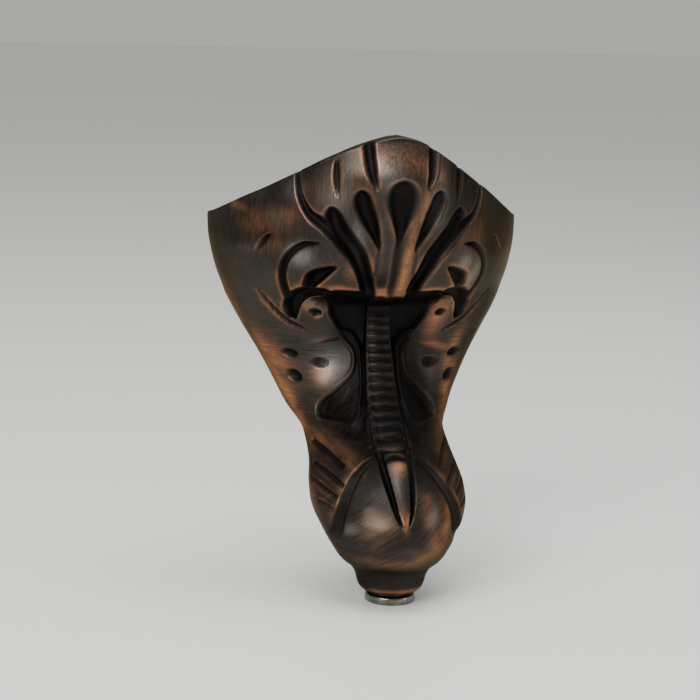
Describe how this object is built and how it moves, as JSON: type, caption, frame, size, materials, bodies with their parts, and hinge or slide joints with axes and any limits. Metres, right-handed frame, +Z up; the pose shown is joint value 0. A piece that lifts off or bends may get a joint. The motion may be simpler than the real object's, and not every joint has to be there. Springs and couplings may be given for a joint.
{
  "type": "claw and ball foot",
  "caption": "Carved claw and ball foot for a free-standing bath: hollow-backed casting with palmette, scrolls and a talon on a ball, over a levelling screw and pad.",
  "frame": {"origin": "centre of the levelling pad's underside, where the foot meets the floor, with the screw wound in as in the picture", "axes": "+Z up; the carved front faces -Y, away from the bath; +X is to the right seen from the front"},
  "size_m": [0.1394, 0.102, 0.1966],
  "materials": {
    "casting": "oil-rubbed bronze: dark brown satin, rubbed through to copper on edges and ridges",
    "stud": "zinc-plated steel",
    "pad": "polished nickel plate"
  },
  "bodies": {
    "casting": {"foot_casting": "casting"},
    "pad": {"levelling_pad": "pad"},
    "stud": {"levelling_stud": "stud"}
  },
  "joints": [
    {"name": "levelling_slide", "type": "slide", "parent": "casting", "child": "pad", "axis": [0, 0, -1], "range_m": [0, 0.01]},
    {"name": "stud_turn", "type": "hinge", "parent": "pad", "child": "stud", "pos_m": [0, 0, 0], "axis": [0, 0, -1], "range_deg": [0, 2881]}
  ],
  "couplings": [
    {"joint": "stud_turn", "follows": "levelling_slide", "rad_per_m": 5026.5}
  ]
}
